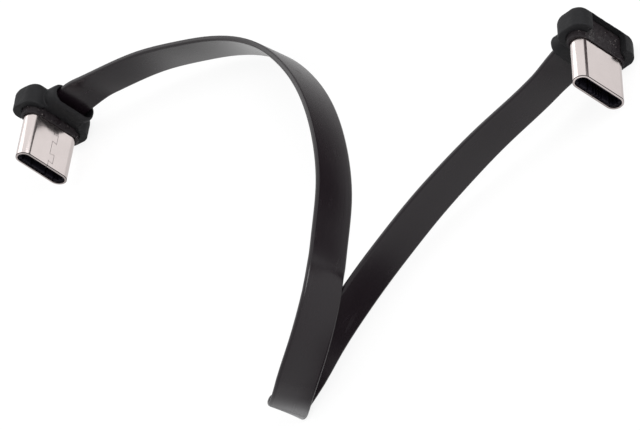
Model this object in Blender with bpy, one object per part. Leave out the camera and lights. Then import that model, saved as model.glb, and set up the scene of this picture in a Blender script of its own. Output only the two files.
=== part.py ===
"""A short USB-C to USB-C cable: a flat black ribbon with a low-profile side-exit plug at each end.

The cable lies on its edge. Both plugs rest on a narrow side, plug A with its mouth a little low, and the
ribbon droops from them to the floor, runs to a tight fold and comes back. Each plug is built about the
centre of its mouth, with local +Y out of the mouth, +X towards the side that the ribbon leaves from, and Z
along the wide side of the shell.
"""

import math

import bmesh
import bpy
import numpy as np
from mathutils import Euler, Matrix, Vector

MM = 0.001

# Ribbon
RIBBON_WIDTH = 5.60 * MM
RIBBON_THICKNESS = 0.78 * MM
RIBBON_STEP = 3.3 * MM
EXIT_STEP = 1.0 * MM
EXIT_RUN = 5.0 * MM
FOLD_RADIUS = 0.50 * MM
FOLD_STEPS = 8
FOLD_IN_HEADING = 206.0
FOLD_TURN = 176.0
FOLD_TIP = 11.0
DROOP_SHARE = 0.26
HUMP_HEIGHT = 5.80 * MM
HUMP_RISE = 18.0 * MM
HUMP_ROUNDING = 1.3
HUMP_TOP = 5.0 * MM
HUMP_FALL = 70.0 * MM
LEAN_NEAR_PLUG_A = 12.4
LEAN = 7.0
LEAN_START = 5.0 * MM
LEAN_FADE = 45.0 * MM
LEAN_AT_FOLD = 1.2
FOLD_LEAN_RUN = 4.5 * MM
FLOOR_CLEARANCE = 0.07 * MM

# Metal shell of a plug: the outside of a full-size USB-C plug
SHELL_WIDTH = 8.34 * MM
SHELL_HEIGHT = 2.56 * MM
SHELL_WALL = 0.15 * MM
SHELL_EXPOSED = 6.40 * MM
SHELL_TAIL = 1.35 * MM
SEAM_GAP = 0.05 * MM
SEAM_TAB = 0.75 * MM
SEAM_UNDERCUT = 0.15 * MM
SEAM_TAB_PLACES = (0.22, 0.71)
SEAM_NECK = 0.085

# Overmould of a plug: its front is this far behind the mouth, and its two broad faces this far from the
# middle of the shell
BODY_FRONT_DEPTH = 7.30 * MM
BODY_LENGTH = 3.55 * MM
BODY_WIDTH = 11.0 * MM
BODY_RIBBON_SIDE = 2.30 * MM
BODY_PLAIN_SIDE = 2.65 * MM
BODY_CORNER = 1.77 * MM
BODY_BACK_FILLET = 1.35 * MM
BODY_FRONT_FILLET = 0.15 * MM
BACK_WALL = 0.60 * MM

# Windows in the broad faces of the overmould, with the inner mould as their floor
WINDOW_WIDTH = 6.10 * MM
WINDOW_CORNER = 0.35 * MM
PLAIN_WINDOW_LENGTH = 2.90 * MM

# Collar round the ribbon, open at the top, and the slot below it that holds the ribbon
COLLAR_FRONT_DEPTH = 7.55 * MM
COLLAR_LENGTH = 3.05 * MM
COLLAR_WIDTH = 7.10 * MM
COLLAR_TOP = 4.60 * MM
COLLAR_CORNER = 1.40 * MM
COLLAR_FILLET = 0.60 * MM
COLLAR_WALL = 0.38 * MM
COLLAR_FLOOR = 2.60 * MM
RIBBON_END = 1.62 * MM
PLUG_A_EXIT_SHIFT = 0.60 * MM
PLUG_B_EXIT_SHIFT = -0.55 * MM

# Inner mould, insulator, contacts, card
INNER_WALL = 0.19 * MM
INNER_SIDE_WALL = 0.40 * MM
INNER_EDGE = 0.08 * MM
FIT = 0.03 * MM
INSULATOR_FRONT = 0.30 * MM
INSULATOR_TAIL = 0.45 * MM
INSULATOR_LIP = 0.10 * MM
INSULATOR_SIDE_WALL = 0.59 * MM
TONGUE_HEIGHT = 1.24 * MM
CONTACT_PITCH = 0.5 * MM
CONTACT_WIDTH = 0.25 * MM
CONTACT_SHEET = 0.12 * MM
CONTACT_BACK_GAP = 0.07 * MM
CONTACT_TOUCH = 0.36 * MM
CONTACT_TAIL = 0.60 * MM
CONTACT_RISE = 0.35 * MM
CONTACT_KNEE_DEPTH = 3.9 * MM
CONTACT_SLOPE_DEPTH = 3.0 * MM
CONTACT_TOUCH_DEPTH = 2.2 * MM
CONTACT_TIP_DEPTH = 1.5 * MM
GROOVE_WIDTH = 0.33 * MM
GROOVE_WALL = 0.14 * MM
LATCH_SHEET = 0.20 * MM
LATCH_ARM = 0.26 * MM
LATCH_HOOK = 0.32 * MM
LATCH_HOOK_LENGTH = 0.60 * MM
LATCH_FRONT_GAP = 1.0 * MM
LATCH_BAR = 0.70 * MM
LATCH_BACK_GAP = 0.35 * MM
SPRING_SHEET = 0.07 * MM
SPRING_PAST_FLAT = 0.11 * MM
SPRING_LENGTH = 1.9 * MM
SPRING_FINGERS = 4
SPRING_FRONT_GAP = 0.60 * MM
SPRING_ROOT = 0.35
SPRING_SLIT = 0.25
SHEET_GAP = 0.01 * MM
CARD_WIDTH = 7.0 * MM
CARD_LENGTH = 1.65 * MM
CARD_SHEET = 0.40 * MM
CARD_ROOM_GAP = 0.10 * MM
CARD_ROOM_WALL = 0.30 * MM
CARD_CORNER = 0.15 * MM
CARD_FRONT_GAP = 0.10 * MM
WIRE_DIAMETER = 0.44 * MM
WIRE_PITCH = 1.1 * MM
WIRE_COUNT = 5
WIRE_START = 0.95 * MM
WIRE_BEND = 0.30 * MM
WIRE_BEND_STEPS = 4
WIRE_END_GAP = 0.05 * MM

CORNER_STEPS = 8
CUT_OVER = 1.0 * MM

# Contacts that a cable without high-speed pairs carries, by the place across the plug, one to twelve
TOP_CONTACTS = (1, 4, 5, 6, 7, 9, 12)
BOTTOM_CONTACTS = (1, 4, 9, 12)

# The floor plan, in millimetres. Its origin is free, and PLAN_MIDDLE, the middle of the two plugs together,
# is what becomes the world origin.
PLAN_MIDDLE = (0.49, 26.00)

# Where each plug's mouth is on the plan, and its turns about X, Y and Z in degrees
PLUG_A_MOUTH = (48.72, -15.40)
PLUG_A_TURN = (-4.2, -2.7, 173.55)
PLUG_B_MOUTH = (-50.43, 57.07)
PLUG_B_TURN = (0.0, 180.0, 160.1)

# The ribbon's way over the plan: from plug A to the fold, the fold, and from the fold to plug B
ROUTE_TO_FOLD = (
    (38.6, -7.65), (30.8, -7.5), (21.8, -7.4), (15.85, -7.75), (10.5, -8.75), (5.25, -10.35), (-0.13, -12.85),
    (-4.71, -15.74), (-8.98, -18.94),
)
FOLD_CENTRE = (-12.0, -20.95)
ROUTE_FROM_FOLD = (
    (-8.59, -20.1), (-4.9, -18.4), (-1.4, -15.95), (1.45, -12.6), (3.05, -7.5), (4.2, -2.5), (4.78, 0.9),
    (4.89, 7.24), (3.9, 14.59), (1.86, 22.52), (-1.13, 30.63), (-4.69, 38.2), (-8.55, 44.77), (-12.97, 50.04),
    (-18.05, 54.05), (-22.45, 56.65), (-29.0, 60.05), (-36.8, 62.95),
)

MATERIALS = {
    "ribbon": ((0.016, 0.015, 0.016), 0.38, 0.0),
    "overmould": ((0.022, 0.022, 0.023), 0.55, 0.0),
    "inner_mould": ((0.018, 0.018, 0.019), 0.5, 0.0),
    "shell": ((0.72, 0.70, 0.69), 0.2, 1.0),
    "insulator": ((0.02, 0.02, 0.02), 0.5, 0.0),
    "spring": ((0.62, 0.60, 0.57), 0.28, 1.0),
    "contact": ((0.78, 0.58, 0.26), 0.25, 1.0),
    "card": ((0.02, 0.07, 0.03), 0.5, 0.0),
    "wire_red": ((0.45, 0.02, 0.02), 0.45, 0.0),
    "wire_white": ((0.75, 0.74, 0.72), 0.45, 0.0),
    "wire_green": ((0.03, 0.25, 0.06), 0.45, 0.0),
    "wire_blue": ((0.02, 0.06, 0.35), 0.45, 0.0),
    "wire_black": ((0.02, 0.02, 0.02), 0.45, 0.0),
}

BODY_FRONT = -BODY_FRONT_DEPTH
BODY_BACK = BODY_FRONT - BODY_LENGTH
INNER_FRONT = -SHELL_EXPOSED
SHELL_BACK = INNER_FRONT - SHELL_TAIL
INNER_HALF_X = SHELL_HEIGHT / 2 + FIT + INNER_WALL
INNER_HALF_Z = SHELL_WIDTH / 2 + FIT + INNER_SIDE_WALL
INNER_BACK = BODY_BACK + BACK_WALL
COLLAR_FRONT = -COLLAR_FRONT_DEPTH
SLOT_Y = COLLAR_FRONT - COLLAR_LENGTH / 2
INSULATOR_HALF_X = SHELL_HEIGHT / 2 - SHELL_WALL - FIT
INSULATOR_HALF_Z = SHELL_WIDTH / 2 - SHELL_WALL - FIT
TONGUE_WIDTH = 2 * (INSULATOR_HALF_Z - INSULATOR_SIDE_WALL)
SPRING_WIDTH = SHELL_WIDTH - SHELL_HEIGHT + 2 * SPRING_PAST_FLAT
SPRING_ROOM = SPRING_SHEET + 2 * SHEET_GAP
GROOVE_FLOOR = INSULATOR_HALF_X - SPRING_ROOM - GROOVE_WALL
CONTACT_HEIGHT = GROOVE_FLOOR - CONTACT_BACK_GAP - CONTACT_SHEET / 2
INSULATOR_BACK = SHELL_BACK + INSULATOR_TAIL
CARD_FRONT = INSULATOR_BACK - CARD_FRONT_GAP
CARD_BACK = CARD_FRONT - CARD_LENGTH
FLOOR_HEIGHT = RIBBON_WIDTH / 2 + FLOOR_CLEARANCE


def clear_scene():
    for obj in list(bpy.data.objects):
        bpy.data.objects.remove(obj, do_unlink=True)


def make_material(name):
    colour, roughness, metallic = MATERIALS[name]
    material = bpy.data.materials.get(name)
    if material is None:
        material = bpy.data.materials.new(name)
        material.use_nodes = True
        shader = material.node_tree.nodes["Principled BSDF"]
        shader.inputs["Base Color"].default_value = (*colour, 1.0)
        shader.inputs["Roughness"].default_value = roughness
        shader.inputs["Metallic"].default_value = metallic
        material.diffuse_color = (*colour, 1.0)
    return material


def link_object(name, data, parent=None, material=None):
    obj = bpy.data.objects.new(name, data)
    bpy.context.scene.collection.objects.link(obj)
    obj.parent = parent
    if material and not data.materials:
        data.materials.append(make_material(material))
    return obj


def mesh_from(bm, name, smooth=True):
    bmesh.ops.recalc_face_normals(bm, faces=bm.faces)
    mesh = bpy.data.meshes.new(name)
    bm.to_mesh(mesh)
    bm.free()
    if smooth:
        mesh.shade_smooth()
        mesh.set_sharp_from_angle(angle=math.radians(32))
    return mesh


def rounded_outline(half_x, half_z, radius, steps=CORNER_STEPS):
    """Points of a rounded rectangle about the origin. A radius of half_x makes it a stadium."""
    radius = min(radius, half_x, half_z)
    corners = ((1, 1, 0), (-1, 1, 90), (-1, -1, 180), (1, -1, 270))
    points = []
    for sign_x, sign_z, start in corners:
        centre_x = sign_x * (half_x - radius)
        centre_z = sign_z * (half_z - radius)
        for i in range(steps + 1):
            angle = math.radians(start + 90 * i / steps)
            point = (centre_x + radius * math.cos(angle), centre_z + radius * math.sin(angle))
            if not points or math.dist(point, points[-1]) > 1e-9:
                points.append(point)
    if math.dist(points[0], points[-1]) < 1e-9:
        points.pop()
    return points


def quarter_round(position, inward, radius, steps, opening):
    """Stations (position, offset) along a fillet that ends at position, growing from it or closing to it."""
    stations = []
    for i in range(steps + 1):
        angle = math.radians(90 * i / steps)
        along = radius * (1 - math.sin(angle))
        offset = radius * (1 - math.cos(angle))
        stations.append((position + inward * along, offset))
    return stations[::-1] if opening else stations


def loft(bm, rings, closed=False):
    """Joins rings of equally many points by quads, and caps the ends or joins the last to the first."""
    made = [[bm.verts.new(point) for point in ring] for ring in rings]
    pairs = list(zip(made, made[1:]))
    if closed:
        pairs.append((made[-1], made[0]))
    for first, second in pairs:
        for i in range(len(first)):
            j = (i + 1) % len(first)
            bm.faces.new((first[i], first[j], second[j], second[i]))
    if not closed:
        bm.faces.new(made[0][::-1])
        bm.faces.new(made[-1])


def prism_rings(half_x, half_z, radius, stations, middle_x=0.0):
    """Rings across Y of a rounded rectangle, each drawn in by its station's offset."""
    return [
        [(middle_x + x, y, z) for x, z in rounded_outline(half_x - d, half_z - d, radius - d)]
        for y, d in stations
    ]


def side_rings(half_z, half_y, radius, centre_y, stations):
    """Rings across X of a rounded rectangle in the YZ plane."""
    return [
        [(x, centre_y + y, z) for y, z in rounded_outline(half_y - d, half_z - d, radius - d)]
        for x, d in stations
    ]


def body_rings():
    """Rings of the overmould before the collar and the hollows, front to back."""
    stations = quarter_round(BODY_FRONT, -1, BODY_FRONT_FILLET, 3, opening=True)
    stations += quarter_round(BODY_BACK, 1, BODY_BACK_FILLET, 6, opening=False)
    half_x = (BODY_RIBBON_SIDE + BODY_PLAIN_SIDE) / 2
    middle_x = (BODY_RIBBON_SIDE - BODY_PLAIN_SIDE) / 2
    return prism_rings(half_x, BODY_WIDTH / 2, BODY_CORNER, stations, middle_x)


def lofted_mesh(name, rings, closed=False):
    bm = bmesh.new()
    loft(bm, rings, closed)
    return mesh_from(bm, name)


def extruded_mesh(name, outline, depth, axis):
    """A flat outline extruded both ways by half of depth. axis is the Vector that it is extruded along."""
    bm = bmesh.new()
    face = bm.faces.new([bm.verts.new(point) for point in outline])
    bmesh.ops.translate(bm, verts=bm.verts, vec=-axis * depth / 2)
    made = bmesh.ops.extrude_face_region(bm, geom=[face], use_keep_orig=True)
    moved = [item for item in made["geom"] if isinstance(item, bmesh.types.BMVert)]
    bmesh.ops.translate(bm, verts=moved, vec=axis * depth)
    return mesh_from(bm, name)


def tool(name, mesh, parent):
    """A helper shape for a Boolean, which isn't a piece of the object."""
    obj = link_object(name, mesh, parent)
    obj.hide_render = True
    obj.display_type = "WIRE"
    return obj


def add_boolean(obj, other, operation):
    modifier = obj.modifiers.new(operation.title() + " " + other.name, "BOOLEAN")
    modifier.operation = operation
    modifier.solver = "EXACT"
    modifier.object = other


def make_overmould(prefix, plug):
    """The black moulding round the back of the shell, with the collar that the ribbon comes out of."""
    body_name = prefix + "_overmould"
    body = link_object(body_name, lofted_mesh(body_name, body_rings()), plug, "overmould")

    def shape(part, rings, operation):
        name = prefix + "_" + part
        add_boolean(body, tool(name, lofted_mesh(name, rings), plug), operation)

    collar_stations = [(0.0, 0.0)] + quarter_round(COLLAR_TOP, -1, COLLAR_FILLET, 4, opening=False)
    shape("collar", side_rings(
        COLLAR_WIDTH / 2, COLLAR_LENGTH / 2, COLLAR_CORNER, SLOT_Y, collar_stations,
    ), "UNION")

    pocket_radius = INNER_HALF_X + FIT
    shape("pocket", prism_rings(
        INNER_HALF_X + FIT, INNER_HALF_Z + FIT, pocket_radius,
        [(BODY_FRONT + CUT_OVER, 0.0), (INNER_BACK - FIT, 0.0)],
    ), "DIFFERENCE")

    floor = INNER_HALF_X - 2 * FIT
    ribbon_window_length = BODY_FRONT - COLLAR_FRONT - FIT
    for part, length, low, high in (
        ("plain_window", PLAIN_WINDOW_LENGTH, -BODY_PLAIN_SIDE - CUT_OVER, -floor),
        ("ribbon_window", ribbon_window_length, floor, COLLAR_TOP + CUT_OVER),
    ):
        half_length = (length + CUT_OVER) / 2
        shape(part, side_rings(
            WINDOW_WIDTH / 2, half_length, WINDOW_CORNER, BODY_FRONT - length + half_length,
            [(low, 0.0), (high, 0.0)],
        ), "DIFFERENCE")

    shape("opening", side_rings(
        COLLAR_WIDTH / 2 - COLLAR_WALL, COLLAR_LENGTH / 2 - COLLAR_WALL, COLLAR_CORNER - COLLAR_WALL / 2,
        SLOT_Y, [(COLLAR_FLOOR, 0.0), (COLLAR_TOP + CUT_OVER, 0.0)],
    ), "DIFFERENCE")
    shape("ribbon_slot", side_rings(
        RIBBON_WIDTH / 2 + FIT, RIBBON_THICKNESS / 2 + FIT, RIBBON_THICKNESS / 2 + FIT, SLOT_Y,
        [(floor, 0.0), (COLLAR_TOP, 0.0)],
    ), "DIFFERENCE")
    return body


def make_inner_mould(prefix, plug):
    """The hard moulding that joins the shell's tail, the card and the ribbon's wires."""
    name = prefix + "_inner_mould"
    stations = quarter_round(INNER_FRONT, -1, INNER_EDGE, 2, opening=True) + [(INNER_BACK, 0.0)]
    rings = prism_rings(INNER_HALF_X, INNER_HALF_Z, INNER_HALF_X, stations)
    mould = link_object(name, lofted_mesh(name, rings), plug, "inner_mould")

    half_x, half_z = SHELL_HEIGHT / 2 + FIT, SHELL_WIDTH / 2 + FIT
    cuts = {
        "shell_bore": prism_rings(
            half_x, half_z, half_x,
            [(INNER_FRONT + CUT_OVER, 0.0), (SHELL_BACK - FIT, 0.0)],
        ),
        "card_room": prism_rings(
            half_x - SHELL_WALL - CARD_ROOM_GAP, CARD_WIDTH / 2 + 2 * CARD_ROOM_GAP, 2 * CARD_ROOM_GAP,
            [(SHELL_BACK + CARD_ROOM_GAP, 0.0), (INNER_BACK + CARD_ROOM_WALL, 0.0)],
        ),
        "wire_window": side_rings(
            RIBBON_WIDTH / 2, RIBBON_THICKNESS / 2, RIBBON_THICKNESS / 4, SLOT_Y,
            [(0.0, 0.0), (INNER_HALF_X + CUT_OVER, 0.0)],
        ),
    }
    for part, cut_rings in cuts.items():
        cut_name = prefix + "_" + part
        add_boolean(mould, tool(cut_name, lofted_mesh(cut_name, cut_rings), plug), "DIFFERENCE")
    return mould


def seam_outline():
    """Both sides of the seam along the shell's broad face, as points (y, z): a line with two dovetail tabs."""
    neck = SEAM_NECK * SHELL_EXPOSED
    centre = [(CUT_OVER, 0.0)]
    for place in SEAM_TAB_PLACES:
        middle = place * SHELL_EXPOSED
        centre.append((-(middle - neck), 0.0))
        centre.append((-(middle - neck - SEAM_UNDERCUT), SEAM_TAB))
        centre.append((-(middle + neck + SEAM_UNDERCUT), SEAM_TAB))
        centre.append((-(middle + neck), 0.0))
    centre.append((SHELL_BACK - CUT_OVER, 0.0))
    left, right = [], []
    for i, point in enumerate(centre):
        here = Vector(point)
        before = (here - Vector(centre[i - 1])).normalized() if i > 0 else None
        after = (Vector(centre[i + 1]) - here).normalized() if i < len(centre) - 1 else None
        before = before or after
        after = after or before
        mitre = (before.orthogonal() + after.orthogonal()).normalized()
        reach = SEAM_GAP / 2 / max(mitre.dot(before.orthogonal()), 0.3)
        left.append(here + mitre * reach)
        right.append(here - mitre * reach)
    return left + right[::-1]


def make_shell(prefix, plug):
    """The steel shell, rolled from sheet, with a rounded mouth and an interlocked seam on the ribbon's side."""
    half_x, half_z = SHELL_HEIGHT / 2, SHELL_WIDTH / 2
    lip = SHELL_WALL / 2
    stations = [(SHELL_BACK, 0.0), (-lip, 0.0)]
    for i in range(1, 6):
        angle = math.radians(180 * i / 6)
        stations.append((-lip + lip * math.sin(angle), lip - lip * math.cos(angle)))
    stations += [(-lip, SHELL_WALL), (SHELL_BACK, SHELL_WALL)]
    mesh = lofted_mesh(prefix + "_shell", prism_rings(half_x, half_z, half_x, stations), closed=True)
    shell = link_object(prefix + "_shell", mesh, plug, "shell")

    outline = [(half_x, y, z) for y, z in seam_outline()]
    seam_mesh = extruded_mesh(prefix + "_seam", outline, 4 * SHELL_WALL, Vector((1, 0, 0)))
    add_boolean(shell, tool(prefix + "_seam", seam_mesh, plug), "DIFFERENCE")
    return shell


def contact_places(numbers):
    """Places across the plug of the numbered contacts, from the middle of the row of twelve."""
    return [(number - 6.5) * CONTACT_PITCH for number in numbers]


def insulator_cavity():
    """Outline (x, z) of the space inside the insulator: the tongue's room, a groove for each contact, and
    a notch on each side for the latch's arms."""
    half_x, half_z = TONGUE_HEIGHT / 2, TONGUE_WIDTH / 2
    groove = GROOVE_WIDTH / 2
    notch_x = LATCH_SHEET / 2 + FIT
    notch_z = half_z + LATCH_ARM + FIT
    points = [(notch_x, notch_z), (notch_x, half_z), (half_x, half_z)]
    for z in sorted(contact_places(TOP_CONTACTS), reverse=True):
        points += [(half_x, z + groove), (GROOVE_FLOOR, z + groove)]
        points += [(GROOVE_FLOOR, z - groove), (half_x, z - groove)]
    points += [(half_x, -half_z), (notch_x, -half_z), (notch_x, -notch_z)]
    points += [(-notch_x, -notch_z), (-notch_x, -half_z), (-half_x, -half_z)]
    for z in sorted(contact_places(BOTTOM_CONTACTS)):
        points += [(-half_x, z - groove), (-GROOVE_FLOOR, z - groove)]
        points += [(-GROOVE_FLOOR, z + groove), (-half_x, z + groove)]
    points += [(-half_x, half_z), (-notch_x, half_z), (-notch_x, notch_z)]
    return points


def make_insulator(prefix, plug):
    """The plastic lining of the shell, open for the socket's tongue, with a groove for each contact."""
    lip = INSULATOR_LIP
    rings = prism_rings(
        INSULATOR_HALF_X, INSULATOR_HALF_Z, INSULATOR_HALF_X,
        [(-INSULATOR_FRONT, lip), (-INSULATOR_FRONT - lip, 0.0), (INSULATOR_BACK, 0.0)],
    )
    insulator = link_object(prefix + "_insulator", lofted_mesh(prefix + "_insulator", rings), plug, "insulator")
    middle = (INSULATOR_BACK - INSULATOR_FRONT) / 2
    outline = [(x, middle, z) for x, z in insulator_cavity()]
    length = -INSULATOR_BACK - INSULATOR_FRONT + 2 * CUT_OVER
    cavity_mesh = extruded_mesh(prefix + "_cavity", outline, length, Vector((0, 1, 0)))
    add_boolean(insulator, tool(prefix + "_cavity", cavity_mesh, plug), "DIFFERENCE")
    for side in (-1, 1):
        name = prefix + ("_spring_room_front" if side < 0 else "_spring_room_back")
        limits = sorted((side * (INSULATOR_HALF_X - SPRING_ROOM), side * (INSULATOR_HALF_X + CUT_OVER)))
        rings = side_rings(
            SPRING_WIDTH / 2 + FIT, SPRING_LENGTH / 2 + FIT, INSULATOR_LIP, spring_middle(),
            [(limits[0], 0.0), (limits[1], 0.0)],
        )
        add_boolean(insulator, tool(name, lofted_mesh(name, rings), plug), "DIFFERENCE")
    return insulator


def spring_middle():
    return -INSULATOR_FRONT - SPRING_FRONT_GAP - SPRING_LENGTH / 2


def make_spring_mesh(name):
    """A comb of earthing fingers, cut from thin sheet."""
    back = spring_middle() - SPRING_LENGTH / 2
    front = spring_middle() + SPRING_LENGTH / 2
    root = back + SPRING_ROOT * SPRING_LENGTH
    half = SPRING_WIDTH / 2
    pitch = SPRING_WIDTH / SPRING_FINGERS
    gap = SPRING_SLIT * pitch
    points = [(0.0, back, -half), (0.0, back, half)]
    for i in range(SPRING_FINGERS):
        top = half - i * pitch - (gap / 2 if i else 0.0)
        low = half - (i + 1) * pitch + (gap / 2 if i < SPRING_FINGERS - 1 else 0.0)
        if i:
            points.append((0.0, root, top))
        points += [(0.0, front, top), (0.0, front, low)]
        if i < SPRING_FINGERS - 1:
            points.append((0.0, root, low))
    return extruded_mesh(name, points, SPRING_SHEET, Vector((1, 0, 0)))


def strip_outline(path, sheet):
    """The outline of a strip of the given sheet thickness along a path (x, y)."""
    left, right = [], []
    for i, point in enumerate(path):
        here = Vector(point)
        before = (here - Vector(path[i - 1])).normalized() if i > 0 else None
        after = (Vector(path[i + 1]) - here).normalized() if i < len(path) - 1 else None
        before = before or after
        after = after or before
        mitre = (before.orthogonal() + after.orthogonal()).normalized()
        reach = sheet / 2 / max(mitre.dot(before.orthogonal()), 0.5)
        left.append(here + mitre * reach)
        right.append(here - mitre * reach)
    return left + right[::-1]


def make_contact_mesh(name):
    """A spring contact: a tail on the card, a straight run in its groove, and a bent touching point."""
    tail_x = CARD_SHEET / 2 + CONTACT_SHEET / 2 + SHEET_GAP
    drop = CONTACT_HEIGHT - CONTACT_TOUCH
    rounding = CONTACT_SHEET
    path = [
        (tail_x, CARD_FRONT - CONTACT_TAIL),
        (tail_x, INSULATOR_BACK - SHEET_GAP),
        (CONTACT_HEIGHT, INSULATOR_BACK + CONTACT_RISE),
        (CONTACT_HEIGHT, -CONTACT_KNEE_DEPTH),
        (CONTACT_HEIGHT - 0.4 * drop, -CONTACT_SLOPE_DEPTH),
        (CONTACT_TOUCH + 0.05 * drop, -CONTACT_TOUCH_DEPTH - rounding),
        (CONTACT_TOUCH, -CONTACT_TOUCH_DEPTH),
        (CONTACT_TOUCH + 0.1 * drop, -CONTACT_TOUCH_DEPTH + rounding),
        (CONTACT_TOUCH + 0.5 * drop, -CONTACT_TIP_DEPTH),
    ]
    outline = [(x, y, 0.0) for x, y in strip_outline(path, CONTACT_SHEET)]
    return extruded_mesh(name, outline, CONTACT_WIDTH, Vector((0, 0, 1)))


def make_latch_mesh(name):
    """The latch: a bar across the back with an arm along each side that ends in a hook."""
    half = TONGUE_WIDTH / 2 + LATCH_ARM
    inside = half - LATCH_ARM
    back = INSULATOR_BACK + LATCH_BACK_GAP
    bar = back + LATCH_BAR
    front = -INSULATOR_FRONT - LATCH_FRONT_GAP
    hook = front - LATCH_HOOK_LENGTH
    right_side = [
        (bar, inside),
        (hook - 0.8 * LATCH_HOOK_LENGTH, inside),
        (hook, inside - LATCH_HOOK),
        (front - 0.4 * LATCH_HOOK_LENGTH, inside - LATCH_HOOK),
        (front, inside),
        (front, half),
        (back, half),
    ]
    left_side = [(y, -z) for y, z in right_side[::-1]]
    outline = [(0.0, y, z) for y, z in right_side + left_side]
    return extruded_mesh(name, outline, LATCH_SHEET, Vector((1, 0, 0)))


def make_card_mesh(name):
    """The circuit card between the contacts and the wires."""
    bm = bmesh.new()
    size = Matrix.Diagonal((CARD_SHEET, CARD_LENGTH, CARD_WIDTH, 1.0))
    place = Matrix.Translation((0.0, (CARD_FRONT + CARD_BACK) / 2, 0.0))
    bmesh.ops.create_cube(bm, size=1.0, matrix=place @ size)
    corners = [e for e in bm.edges if abs(e.verts[0].co.x - e.verts[1].co.x) > CARD_SHEET / 2]
    bmesh.ops.bevel(bm, geom=corners, offset=CARD_CORNER, segments=2, affect="EDGES", profile=0.5)
    return mesh_from(bm, name)


def make_wire_curve(name):
    """A wire from the card round to the end of the ribbon in its slot."""
    card_x = CARD_SHEET / 2 + WIRE_DIAMETER / 2 + 2 * SHEET_GAP
    points = [Vector((card_x, CARD_FRONT - WIRE_START, 0.0))]
    centre = Vector((card_x + WIRE_BEND, SLOT_Y + WIRE_BEND, 0.0))
    for i in range(WIRE_BEND_STEPS + 1):
        angle = math.radians(90 * i / WIRE_BEND_STEPS)
        points.append(centre - Vector((math.cos(angle), math.sin(angle), 0.0)) * WIRE_BEND)
    points.append(Vector((RIBBON_END - WIRE_END_GAP, SLOT_Y, 0.0)))
    return round_curve(name, points, WIRE_DIAMETER / 2)


def round_curve(name, points, radius):
    curve = bpy.data.curves.new(name, "CURVE")
    curve.dimensions = "3D"
    curve.bevel_depth = radius
    curve.bevel_resolution = 2
    curve.use_fill_caps = True
    spline = curve.splines.new("POLY")
    spline.points.add(len(points) - 1)
    for spot, point in zip(spline.points, points):
        spot.co = (*point, 1.0)
    spline.use_smooth = True
    return curve


def make_plug(prefix, mouth, turn):
    """One plug and everything in it, on an empty at the centre of its mouth."""
    plug = bpy.data.objects.new(prefix, None)
    plug.empty_display_size = 3 * MM
    bpy.context.scene.collection.objects.link(plug)
    frame = plug_matrix(mouth, turn)
    plug.location = frame.to_translation()
    plug.rotation_euler = frame.to_euler()

    make_overmould(prefix, plug)
    make_inner_mould(prefix, plug)
    make_shell(prefix, plug)
    make_insulator(prefix, plug)
    link_object(prefix + "_latch", make_latch_mesh(prefix + "_latch"), plug, "spring")
    link_object(prefix + "_card", make_card_mesh(prefix + "_card"), plug, "card")

    spring_mesh = make_spring_mesh(prefix + "_earth_spring")
    spring_x = INSULATOR_HALF_X - SPRING_SHEET / 2 - SHEET_GAP
    for row, side in (("a", 1), ("b", -1)):
        spring = link_object(prefix + "_earth_spring_" + row, spring_mesh, plug, "spring")
        spring.location.x = side * spring_x

    contact_mesh = make_contact_mesh(prefix + "_contact")
    for row, numbers in (("a", TOP_CONTACTS), ("b", BOTTOM_CONTACTS)):
        for number, z in zip(numbers, contact_places(numbers)):
            contact = link_object(f"{prefix}_contact_{row}{number}", contact_mesh, plug, "contact")
            contact.location.z = z
            if row == "b":
                contact.rotation_euler.y = math.pi

    colours = ("red", "white", "green", "blue", "black")
    for i in range(WIRE_COUNT):
        colour = colours[i % len(colours)]
        name = f"{prefix}_wire_{i + 1}"
        wire = link_object(name, make_wire_curve(name), plug, "wire_" + colour)
        wire.location.z = (i - (WIRE_COUNT - 1) / 2) * WIRE_PITCH
    return plug


def cubic_through(points):
    """A natural cubic spline through the points, as a function of the distance along their chords."""
    points = np.array(points, float)
    chords = np.linalg.norm(np.diff(points, axis=0), axis=1)
    knots = np.concatenate([[0.0], np.cumsum(chords)])
    count = len(points)
    system = np.eye(count)
    right = np.zeros_like(points)
    for i in range(1, count - 1):
        before, after = chords[i - 1], chords[i]
        system[i, i - 1] = before
        system[i, i] = 2 * (before + after)
        system[i, i + 1] = after
        slopes = (points[i + 1] - points[i]) / after - (points[i] - points[i - 1]) / before
        right[i] = 6 * slopes
    bends = np.linalg.solve(system, right)

    def at(distances):
        distances = np.atleast_1d(distances)
        i = np.clip(np.searchsorted(knots, distances, side="right") - 1, 0, count - 2)
        step = chords[i][:, None]
        from_start = (distances - knots[i])[:, None]
        to_end = step - from_start
        return (
            (bends[i] * to_end**3 + bends[i + 1] * from_start**3) / (6 * step)
            + (points[i] / step - bends[i] * step / 6) * to_end
            + (points[i + 1] / step - bends[i + 1] * step / 6) * from_start
        )

    return at, knots


def ease(share):
    """A smooth rise from zero at 0 to one at 1."""
    share = np.clip(share, 0.0, 1.0)
    return share**3 * (share * (6 * share - 15) + 10)


def on_plan(point):
    """A point of the plan in metres about the world origin."""
    return ((point[0] - PLAN_MIDDLE[0]) * MM, (point[1] - PLAN_MIDDLE[1]) * MM)


def plug_matrix(mouth, turn):
    """Where a plug is when its overmould rests on the floor."""
    rotation = Euler([math.radians(angle) for angle in turn]).to_matrix()
    lowest = min((rotation @ Vector(point)).z for ring in body_rings() for point in ring)
    return Matrix.Translation((*on_plan(mouth), -lowest)) @ rotation.to_4x4()


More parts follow.
